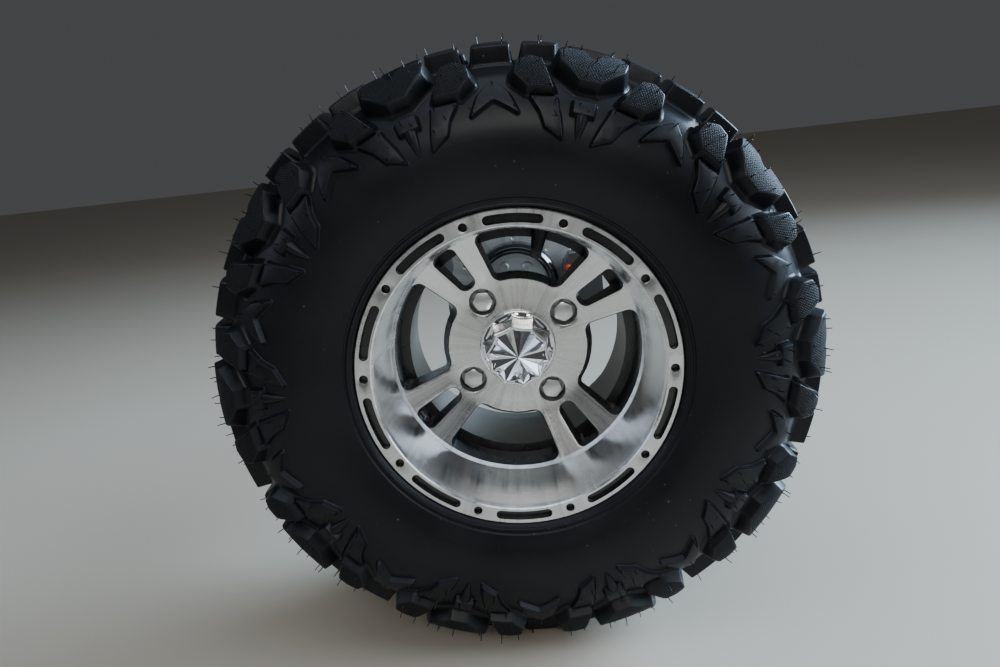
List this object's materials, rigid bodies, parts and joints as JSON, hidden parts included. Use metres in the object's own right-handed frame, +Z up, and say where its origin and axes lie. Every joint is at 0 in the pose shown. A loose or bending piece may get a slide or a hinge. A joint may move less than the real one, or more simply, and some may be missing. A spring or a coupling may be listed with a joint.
{
  "type": "quad bike rear wheel on its axle and bearing carrier",
  "caption": "Quad bike rear wheel with a lugged tyre on a deep-dish alloy rim, its hub, live axle, disc brake and bolt-on bearing carrier.",
  "frame": {"origin": "centre of the carrier's bolted face, level with the axle", "axes": "+Y along the axle away from the wheel, -X out of the bolted face (towards the vehicle's front), +Z up"},
  "size_m": [0.5566, 0.9265, 0.5588],
  "materials": {
    "machined_alloy": "turned face, bright",
    "tyre_rubber": "satin moulded rubber",
    "hub_iron": "black painted casting",
    "chrome_cap": "polished",
    "valve_rubber": "matt",
    "valve_plastic": "matt",
    "axle_steel": "turned",
    "carrier_casting": "satin black",
    "bearing_steel": "ground",
    "disc_steel": "swept by the pads",
    "black_cup": "gloss black",
    "plate_steel": "zinc plated",
    "bolt_zinc": "zinc plated",
    "caliper_casting": "dark cast",
    "pad_lining": "friction lining",
    "bracket_steel": "satin black",
    "orange_rubber": "matt",
    "nut_steel": "satin plated"
  },
  "bodies": {
    "carrier": {"axle_carrier": "carrier_casting", "bearing_left": "bearing_steel", "bearing_right": "bearing_steel", "caliper_bracket": "bracket_steel", "brake_caliper": "caliper_casting", "brake_pad_outer": "pad_lining", "brake_pad_inner": "pad_lining", "bleed_cap": "orange_rubber"},
    "wheel": {"rim": "machined_alloy", "tyre": "tyre_rubber", "lug_nut_1": "nut_steel", "lug_nut_2": "nut_steel", "lug_nut_3": "nut_steel", "lug_nut_4": "nut_steel", "wheel_stud_1": "bolt_zinc", "wheel_stud_2": "bolt_zinc", "wheel_stud_3": "bolt_zinc", "wheel_stud_4": "bolt_zinc", "wheel_hub": "hub_iron", "centre_cap": "chrome_cap", "valve_stem": "valve_rubber", "valve_cap": "valve_plastic", "axle_shaft": "axle_steel", "disc_hub": "black_cup", "disc_hub_plate": "plate_steel", "disc_hub_bolts": "bolt_zinc", "brake_disc": "disc_steel"}
  },
  "joints": [
    {"name": "wheel_spin", "type": "hinge", "parent": "carrier", "child": "wheel", "pos_m": [0.095, 0, 0], "axis": [0, 1, 0], "continuous": true}
  ]
}
